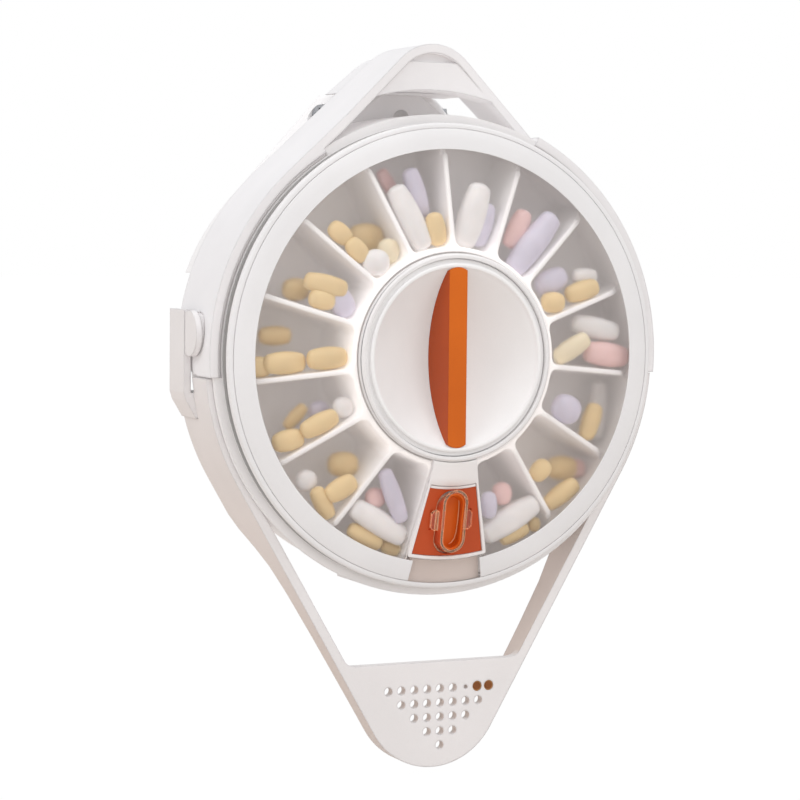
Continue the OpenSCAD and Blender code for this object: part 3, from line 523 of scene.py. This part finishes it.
# ---------------------------------------------------------------- contents
# colour, centre x, depth, centre z, length, width, direction in degrees
PILLS = [
    ("white", -12.0, -0.3, 39.1, 19.9, 7.2, -63),
    ("lav", -8.6, 3.6, 46.0, 14.8, 5.8, -70),
    ("pink", -15.0, 9.0, 48.9, 8.7, 4.1, -55),
    ("tan", -4.5, -1.6, 35.9, 9.6, 5.8, -78),
    ("white", 7.7, 0.1, 39.9, 19.1, 8.1, 73),
    ("lav", 11.6, 2.1, 37.3, 12.9, 5.8, 74),
    ("pink", 23.1, 3.0, 36.2, 11.9, 6.1, 66),
    ("lav", 27.0, 0.2, 32.2, 21.9, 7.8, 48),
    ("lav", 34.2, 2.9, 21.3, 10.5, 7.2, 23),
    ("white", 45.7, 4.0, 22.7, 8.3, 4.9, 0),
    ("tan", 32.7, -1.6, 15.3, 7.5, 6.1, 0),
    ("tan", 43.3, 0.4, 18.6, 11.0, 5.8, 16),
    ("white", 49.8, 4.5, 7.7, 15.3, 6.4, -11),
    ("cream", 39.5, -1.0, 2.0, 12.5, 5.8, 32),
    ("pink", 52.7, 2.1, 0.0, 15.3, 7.2, -8),
    ("lav", 38.4, 0.4, -15.6, 9.4, 8.4, -23),
    ("tan", 48.8, 4.7, -19.7, 11.2, 5.8, 71),
    ("white", 54.7, 11.4, -16.9, 17.3, 5.2, 88),
    ("tan", 30.2, -0.0, -33.1, 6.9, 5.8, 46),
    ("tan", 38.8, 2.1, -40.5, 12.0, 5.8, 35),
    ("tan", 42.7, 10.9, -33.7, 10.0, 7.2, -2),
    ("pink", 47.5, 11.8, -34.0, 6.7, 5.8, -2),
    ("lav", 13.7, -0.4, -42.6, 7.8, 4.9, 91),
    ("pink", 19.3, 3.2, -39.8, 6.7, 6.1, 91),
    ("white", 21.5, 2.1, -47.2, 20.0, 7.8, 29),
    ("tan", 23.3, 1.8, -51.6, 9.6, 4.6, 24),
    ("tan", 30.8, 4.9, -49.3, 4.4, 3.8, 91),
    ("lav", -16.5, -0.7, -39.0, 16.6, 5.2, -67),
    ("pink", -20.4, 3.2, -39.7, 6.2, 5.8, -2),
    ("white", -19.9, 1.6, -46.6, 19.4, 7.2, -31),
    ("tan", -23.7, 1.8, -50.5, 11.4, 5.2, -28),
    ("tan", -15.0, 4.8, -54.4, 6.0, 4.3, -21),
    ("tan", -31.8, 0.8, -36.5, 9.9, 6.1, 30),
    ("tan", -36.8, 1.7, -40.6, 10.2, 5.2, -60),
    ("white", -40.8, 4.9, -34.4, 6.3, 6.1, -2),
    ("tan", -28.2, 8.4, -30.5, 9.2, 7.2, -2),
    ("white", -31.5, 1.2, -13.9, 6.1, 5.8, -1),
    ("tan", -38.9, -0.4, -18.2, 11.7, 5.8, 25),
    ("tan", -47.4, 1.6, -22.8, 9.4, 6.1, 13),
    ("tan", -43.0, 7.9, -16.7, 8.6, 3.8, 48),
    ("lav", -36.0, 7.4, -15.2, 6.1, 5.8, -1),
    ("tan", -48.8, 1.0, -1.3, 12.5, 6.4, 2),
    ("tan", -37.1, -1.2, -0.0, 12.0, 6.4, 4),
    ("tan", -55.9, 2.1, -2.4, 7.7, 5.8, -1),
    ("tan", -48.8, 9.2, 5.9, 9.6, 5.5, 0),
    ("tan", -37.4, -0.4, 20.3, 12.9, 5.8, -13),
    ("tan", -38.5, -0.6, 16.2, 8.1, 5.8, -10),
    ("lav", -32.2, 1.5, 15.5, 9.5, 7.2, -52),
    ("tan", -42.6, 9.1, 18.8, 8.1, 6.4, 0),
    ("tan", -32.9, 0.4, 34.6, 7.6, 5.5, -39),
    ("tan", -28.2, -0.8, 29.9, 7.8, 5.5, -47),
    ("white", -22.8, -1.4, 26.5, 7.9, 7.5, 0),
    ("cream", -18.1, 1.2, 29.6, 7.3, 6.4, 91),
    ("tan", -21.8, 8.6, 33.1, 10.8, 8.7, 1)
]


def pill_mesh(cx, cy, cz, ln, w, ang, tilt, flat, nu=28, nv=26):
    """Coated oblong tablet: capsule outline, crowned faces, a faint belly band."""
    V, F = [], []
    a = w / 2.0
    half = max(ln / 2.0, a)
    straight = half - a
    us = []
    for i in range(nu + 1):
        t = -1 + 2.0 * i / nu
        ph = t * math.pi / 2
        us.append((math.copysign(straight, t) * min(1.0, abs(t) * 2.2) + a * math.sin(ph) * 1.0, math.cos(ph)))
    us = [(math.copysign(1, s) * 0, 0) if False else (s, c) for s, c in us]
    ca, sa = math.cos(rad(ang)), math.sin(rad(ang))
    ct, st = math.cos(rad(tilt)), math.sin(rad(tilt))
    for s, c in us:
        rr = a * max(c, 0.0) ** 0.86
        for j in range(nv):
            q = 2 * math.pi * j / nv
            cq, sq = math.cos(q), math.sin(q)
            e = 0.86
            px = math.copysign(abs(cq) ** e, cq) * rr
            py = math.copysign(abs(sq) ** e, sq) * rr * flat
            lx, ly, lz = s, py, px
            lx, ly = lx * ct - ly * st, lx * st + ly * ct
            V.append((cx + lx * ca - lz * sa, cy + ly, cz + lx * sa + lz * ca))
    k = nv
    for i in range(nu):
        for j in range(nv):
            j2 = (j + 1) % nv
            F.append((i * k + j, (i + 1) * k + j, (i + 1) * k + j2, i * k + j2))
    return V, F


def build_pills():
    groups = {}
    for n, (col, x, y, z, ln, w, ang) in enumerate(PILLS):
        tilt = ((n * 37) % 13 - 6) * 0.9
        V, F = groups.setdefault(col, ([], []))
        flat = 0.74 if ln > w * 1.15 else 0.68
        v, f = pill_mesh(x, y, z, ln, w, ang, tilt, flat)
        # keep the tablet behind everything fixed to the lid at the exit
        need = 0.0
        for vx, vy, vz in v:
            r = math.hypot(vx, vz)
            back = -1.64 + 0.187 * (r - 46) if r < 57.0 else 0.23 * (r - 50) - 0.05
            need = max(need, back + 0.12 - vy)
        # slide it back along the line of sight, but only a third of the way sideways
        dx, dz = 0.35 * need * (x + 309.7) / (y + 654.6), 0.35 * need * (z - 34.05) / (y + 654.6)
        v = [(vx + dx, vy + need, vz + dz) for vx, vy, vz in v]
        o = len(V)
        V += v
        F += [tuple(q + o for q in t) for t in f]
    for col, (V, F) in groups.items():
        make("tablets_" + col, V, F, "pill_" + col, "carousel", angle=80)


build_pills()

# ---------------------------------------------------------------- knob


def build_knob():
    R = 35.2
    sy = -7.4 + 0.1 - math.sqrt(R * R - 25.6 * 25.6)
    prof = []
    for i in range(0, 25):
        r = 0.001 + 24.2 * i / 24.0
        prof.append((r, sy + math.sqrt(R * R - r * r)))
    # the dish turns softly into the rim
    r0, y0 = prof[-1]
    ctrl = [(24.7, y0 - 0.42), (25.1, y0 - 0.80), (25.5, -7.28), (25.8, -7.38), (26.1, -7.4), (26.35, -7.33), (26.52, -7.18), (26.6, -6.95)]
    prof += ctrl
    prof += [(26.62, -6.42), (26.8, -6.3), (27.55, -6.3), (27.72, -6.15), (27.75, -5.12), (28.75, -5.1), (28.9, -4.95), (28.9, -3.85), (28.75, -3.7), (23.9, -3.7)]
    for i in range(0, 13):
        r = 23.6 - (23.6 - 8.0) * i / 12.0
        prof.append((r, sy + math.sqrt((R + 1.6) ** 2 - r * r)))
    prof += [(8.0, 6.45), (7.85, 6.6), (0.001, 6.6)]
    V, F = lathe_mesh(prof, 220, closed=False)
    ob = make("knob_cup", V, F, "knob", "knob", angle=35)
    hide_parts("knob_dish")


build_knob()

# ---------------------------------------------------------------- trim ring


def sweep(prof, a0, a1, n):
    """A closed profile of (radius, depth) turned from angle a0 to a1, ends capped."""
    V, F = [], []
    k = len(prof)
    for i in range(n + 1):
        a = rad(a0 + (a1 - a0) * i / n)
        V += [(r * math.cos(a), y, r * math.sin(a)) for r, y in prof]
    for i in range(n):
        for q in range(k):
            w = (q + 1) % k
            F.append((i * k + q, (i + 1) * k + q, (i + 1) * k + w, i * k + w))
    F += [tuple(range(k)), tuple(n * k + q for q in range(k))]
    return V, F


def build_trim():
    def p(r, d):
        return (r, lid_y(r) + d)
    inner = [p(58.5, 0.6), p(58.5, 0.08), p(58.62, -0.03), p(58.8, -0.05), p(61.5, -0.05), p(64.2, -0.05), p(64.34, 0.0), p(64.4, 0.12), p(64.4, 0.6)]
    V, F = sweep(inner, -79.68, 259.68, 240)
    outer = [p(64.45, 0.6), p(64.5, 0.12), p(64.6, 0.0), p(64.8, -0.04), p(65.4, -0.04), p(65.72, 0.02), p(65.9, 0.2), p(65.97, 0.5), p(65.97, 1.4), p(64.45, 1.4)]
    lv, lf = sweep(outer, -90, 270, 256)
    o = len(V)
    V += lv
    F += [tuple(q + o for q in f) for f in lf[:-2]]
    ob = make("lid_ring", V, F, "ring", "lid", angle=35)
    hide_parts("trim_ring")


build_trim()

# ---------------------------------------------------------------- lid and exit panel


def build_lid():
    def p(r, d):
        return (r, lid_y(r) + d)
    full = [p(66.0, 1.5), p(66.0, 0.45), p(65.9, 0.14), p(65.6, 0.0), p(58.45, 0.0), p(50, 0.0), p(40, 0.0), p(31.0, 0.0), p(29.3, 0.0),
            (29.05, lid_y(29.05) - 0.12), (28.95, -7.25), (28.8, -7.38), (28.45, -7.41), (28.05, -7.38), (27.92, -7.2), (27.9, -6.9), (27.9, lid_y(27.9) + 1.5),
            p(31.0, 1.5), p(40, 1.5), p(50, 1.5)]
    V, F = sweep(full, -90 + 12.36, 270 - 12.36, 250)
    inner = [p(36.1, 1.5), p(36.1, 0.0), p(31.0, 0.0), p(29.3, 0.0)] + full[9:17] + [p(31.0, 1.5)]
    v2, f2 = sweep(inner, -90 - 12.45, -90 + 12.45, 18)
    outer = [p(66.0, 1.5), p(66.0, 0.45), p(65.9, 0.14), p(65.6, 0.0), p(57.85, 0.0), p(57.85, 1.5)]
    v3, f3 = sweep(outer, -90 - 12.45, -90 + 12.45, 18)
    for v, f in ((v2, f2), (v3, f3)):
        o = len(V)
        V += v
        F += [tuple(q + o for q in t) for t in f]
    ob = make("lid_pane", V, F, "lid", "lid", angle=30)
    ob.data.materials.append(M["lip"])
    for pl in ob.data.polygons:
        c = pl.center
        rr = math.hypot(c.x * 1000, c.z * 1000 + 68.3)
        off = abs(math.degrees(math.atan2(c.x * 1000, -(c.z * 1000 + 68.3))))
        if rr < 29.32 or rr > 65.55 or abs(off - 12.36) < 0.15:
            pl.material_index = 1
    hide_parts("clear_lid")


def slope_pt(x, yp, zp):
    """A point of the exit plate's tilted frame, in drum millimetres."""
    s_, c_ = 0.18666, 0.98242
    return (x, -3.8 + yp * c_ - (zp + 46) * s_, -46 + yp * s_ + (zp + 46) * c_)


def slope_sheet(outline, hole, y_top, y_back, rnd):
    """Raised sheet between an outline and an optional hole, its front edges rounded."""
    V, F = [], []

    def ring(pts, sgn):
        n = len(pts)
        area2 = sum(pts[i - 1][0] * pts[i][1] - pts[i][0] * pts[i - 1][1] for i in range(n))
        o = 1.0 if area2 > 0 else -1.0
        out = []
        for off, dy in ((0.0, None), (0.0, rnd), (0.3 * rnd, 0.3 * rnd), (rnd, 0.0)):
            b0 = len(V)
            for i in range(n):
                (x0, z0), (x1, z1), (x2, z2) = pts[i - 1], pts[i], pts[(i + 1) % n]
                dx, dz = x2 - x0, z2 - z0
                l = math.hypot(dx, dz) or 1.0
                nx, nz = o * dz / l, -o * dx / l
                V.append(slope_pt(x1 - sgn * nx * off, y_back if dy is None else y_top + dy, z1 - sgn * nz * off))
            out.append((b0, n))
        for k in range(3):
            a, b_ = out[k][0], out[k + 1][0]
            for i in range(n):
                j = (i + 1) % n
                F.append((a + i, a + j, b_ + j, b_ + i))
        return out
    ro = ring(outline, 1.0)
    top = [ro[-1]]
    back = [ro[0]]
    if hole:
        rh = ring(hole, -1.0)
        top.append(rh[-1]); back.append(rh[0])
    for rings in (top, back):
        loops, idx = [], []
        for b0, n in rings:
            loops.append([Vector((V[b0 + i][0], V[b0 + i][2], 0)) for i in range(n)])
            idx += list(range(b0, b0 + n))
        for t in tessellate_polygon(loops):
            F.append(tuple(idx[q] for q in t))
    return V, F


def sector(r0, r1, a, rc, n=10):
    """Outline of a ring sector about the downward direction, corners rounded."""
    def pt(r, t):
        return (r * math.sin(rad(t)), -r * math.cos(rad(t)))
    pts = []
    for (r, t, sr, st) in ((r0, -a, 1, 1), (r0, a, 1, -1), (r1, a, -1, -1), (r1, -a, -1, 1)):
        da = math.degrees(rc / r)
        A = pt(r + sr * rc, t); B = pt(r, t); C = pt(r, t + st * da)
        seq = (A, B, C) if (r, t) in ((r0, -a), (r1, a)) else (C, B, A)
        for q in range(5):
            u = q / 4.0
            pts.append(tuple((1 - u) ** 2 * seq[0][k] + 2 * u * (1 - u) * seq[1][k] + u * u * seq[2][k] for k in (0, 1)))
        if (r, t) == (r0, -a):
            pts += [pt(r0, -a + da + (2 * a - 2 * da) * q / n) for q in range(1, n)]
        if (r, t) == (r1, a):
            pts += [pt(r1, a - math.degrees(rc / r1) - (2 * a - 2 * math.degrees(rc / r1)) * q / n) for q in range(1, n)]
    return pts


def build_panel():
    # white panel with the plate's window, level with the lid
    n = 14
    def pt(r, t):
        return (r * math.sin(rad(t)), -r * math.cos(rad(t)))
    out = []
    out += [pt(29.25, -13.6 + 27.2 * q / n) for q in range(n + 1)]
    out += [pt(30.4, 13.2), pt(32.0, 12.75), pt(34.5, 12.5)]
    out += [pt(r, 12.35) for r in (38, 44, 50, 55)]
    out += [pt(57.3, 12.3)] + [pt(57.85, 12.0 - 24.0 * q / n) for q in range(n + 1)] + [pt(57.3, -12.3)]
    out += [pt(r, -12.35) for r in (55, 50, 44, 38)]
    out += [pt(34.5, -12.5), pt(32.0, -12.75), pt(30.4, -13.2)]
    hole = sector(36.2, 56.93, 11.28, 0.3, 12)
    V, F = slope_sheet(out, hole, -0.03, 1.9, 0.12)
    ob = make("exit_panel", V, F, "panel", "lid", angle=40)
    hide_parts("exit_frame")
    # pale strip along the plate's top edge, fixed to the plate
    V, F = slope_sheet(sector(36.47, 37.17, 11.0, 0.12, 12), None, 0.12, 1.1, 0.1)
    make("plate_strip", V, F, "panel", "hatch", angle=40)


def build_slot_painted_highlight():
    # painted highlight: a bright peach tube laid where the slot's right wall meets its floor
    path = [(2.2, -39.9), (2.55, -41.5), (2.66, -44.5), (2.6, -47.5), (2.45, -50.0), (2.05, -51.8), (1.3, -53.0), (0.35, -53.5)]
    pts = []
    for i in range(len(path) - 1):
        for q in range(4):
            u = q / 4.0
            pts.append((path[i][0] + (path[i + 1][0] - path[i][0]) * u, path[i][1] + (path[i + 1][1] - path[i][1]) * u))
    pts.append(path[-1])
    V, F = [], []
    m = 8
    for i, (x, z) in enumerate(pts):
        (x0, z0), (x1, z1) = pts[max(i - 1, 0)], pts[min(i + 1, len(pts) - 1)]
        l = math.hypot(x1 - x0, z1 - z0)
        nx, nz = (z1 - z0) / l, -(x1 - x0) / l
        t = 0.16 * min(1.0, 0.3 + min(i, len(pts) - 1 - i) / 3.0)
        for q in range(m):
            a = 2 * math.pi * q / m
            V.append(slope_pt(x + nx * t * math.cos(a), 0.62 + t * math.sin(a), z + nz * t * math.cos(a)))
    for i in range(len(pts) - 1):
        for q in range(m):
            w = (q + 1) % m
            F.append((i * m + q, i * m + w, (i + 1) * m + w, (i + 1) * m + q))
    F += [tuple(range(m)), tuple((len(pts) - 1) * m + q for q in range(m))]
    make("slot_painted_highlight", V, F, "painted_highlight_line", "button", angle=60)


build_lid()
build_panel()
build_slot_painted_highlight()


def build_fillers():
    # thin liner that closes most of the slit between the lid's seat and the band
    V, F = lathe_mesh([(66.3, 8.5), (66.3, 5.35), (66.42, 5.2), (66.78, 5.2), (66.9, 5.35), (66.9, 8.5)], 256, closed=True)
    make("slit_liner", V, F, "shell", "drum", angle=35)
    # web behind the opening under the handle's peak
    V, F = [], []
    R, zc, zb = 14.7, 71.8, 82.0
    a0 = math.degrees(math.asin((zb - zc) / R))
    pts = [(R * math.cos(rad(t)), zc + R * math.sin(rad(t))) for t in [a0 + (180 - 2 * a0) * q / 24.0 for q in range(25)]]
    n = len(pts)
    for x, z in pts:
        V.append((x, 12.1 + 0.15 * x + 0.06 * (z - zb), z))
    for x, z in pts:
        V.append((x, 14.2 + 0.15 * x, z))
    F += [tuple(range(n)), tuple(range(2 * n - 1, n - 1, -1))]
    F += [(i, (i + 1) % n, n + (i + 1) % n, n + i) for i in range(n)]
    make("peak_web", V, F, "handle", "drum", angle=35)


build_fillers()

# ---------------------------------------------------------------- stage
fm, N, L, b = new_mat("floor")
tc = N.new("ShaderNodeTexCoord")
nz = node(N, "ShaderNodeTexNoise", Scale=3.0, Detail=4.0)
L.new(tc.outputs["Object"], nz.inputs["Vector"])
mx = N.new("ShaderNodeMix"); mx.data_type = "RGBA"
mx.inputs[6].default_value = (0.66, 0.61, 0.57, 1)
mx.inputs[7].default_value = (0.69, 0.64, 0.60, 1)
L.new(nz.outputs["Fac"], mx.inputs[0]); L.new(mx.outputs[2], b.inputs["Base Color"])
b.inputs["Roughness"].default_value = 0.85
b.inputs["Specular IOR Level"].default_value = 0.2
em = N.new("ShaderNodeEmission")
em.inputs["Strength"].default_value = 1.02
lp = N.new("ShaderNodeLightPath")
fac = node(N, "ShaderNodeMath", operation="MULTIPLY")
fac.inputs[1].default_value = 0.97
L.new(lp.outputs["Is Camera Ray"], fac.inputs[0])
ms = N.new("ShaderNodeMixShader")
L.new(fac.outputs["Value"], ms.inputs[0]); L.new(b.outputs["BSDF"], ms.inputs[1]); L.new(em.outputs["Emission"], ms.inputs[2])
L.new(ms.outputs["Shader"], [n for n in N if n.type == "OUTPUT_MATERIAL"][0].inputs["Surface"])
me = bpy.data.meshes.new("floor")
bm = bmesh.new()
bmesh.ops.create_grid(bm, x_segments=8, y_segments=8, size=8.0)
bm.to_mesh(me); bm.free()
floor = bpy.data.objects.new("floor", me)
floor.location = (0, 0, -0.1893)
me.materials.append(fm)
scene.collection.objects.link(floor)

world = bpy.data.worlds.new("studio")
scene.world = world
world.use_nodes = True
N, L = world.node_tree.nodes, world.node_tree.links
N.clear()
out = N.new("ShaderNodeOutputWorld")
tc = N.new("ShaderNodeTexCoord")
dt = node(N, "ShaderNodeVectorMath", operation="DOT_PRODUCT")
dt.inputs[1].default_value = Vector((-0.15, -0.35, 0.92)).normalized()
L.new(tc.outputs["Generated"], dt.inputs[0])
mr = node(N, "ShaderNodeMapRange")
mr.inputs["From Min"].default_value = -1.0
mr.inputs["From Max"].default_value = 1.0
mr.inputs["To Min"].default_value = 0.30
mr.inputs["To Max"].default_value = 1.12
L.new(dt.outputs["Value"], mr.inputs["Value"])
bg = N.new("ShaderNodeBackground")
bg.inputs["Color"].default_value = (0.985, 0.99, 1.0, 1)
L.new(mr.outputs["Result"], bg.inputs["Strength"])
bw = N.new("ShaderNodeBackground")
bw.inputs["Color"].default_value = (1, 1, 1, 1)
lp = N.new("ShaderNodeLightPath")
ms = N.new("ShaderNodeMixShader")
L.new(lp.outputs["Is Camera Ray"], ms.inputs[0]); L.new(bg.outputs[0], ms.inputs[1]); L.new(bw.outputs[0], ms.inputs[2])
L.new(ms.outputs[0], out.inputs["Surface"])


def area(name, loc, target, size, power, col=(1, 1, 1)):
    ld = bpy.data.lights.new(name, "AREA")
    ld.shape = "DISK"
    ld.size = size
    ld.energy = power
    ld.color = col
    ob = bpy.data.objects.new(name, ld)
    ob.location = loc
    d = Vector(target) - Vector(loc)
    ob.rotation_euler = d.to_track_quat("-Z", "Y").to_euler()
    scene.collection.objects.link(ob)
    return ob


area("key", (0.35, -0.75, 0.75), (0, -0.04, -0.07), 0.5, 1.5, (1.0, 0.985, 0.965))
area("top", (-0.75, -0.25, 0.55), (0, -0.03, -0.05), 0.5, 1.6, (0.98, 0.985, 1.0))

scene.view_settings.view_transform = "Standard"
scene.view_settings.look = "None"

bpy.context.view_layer.update()
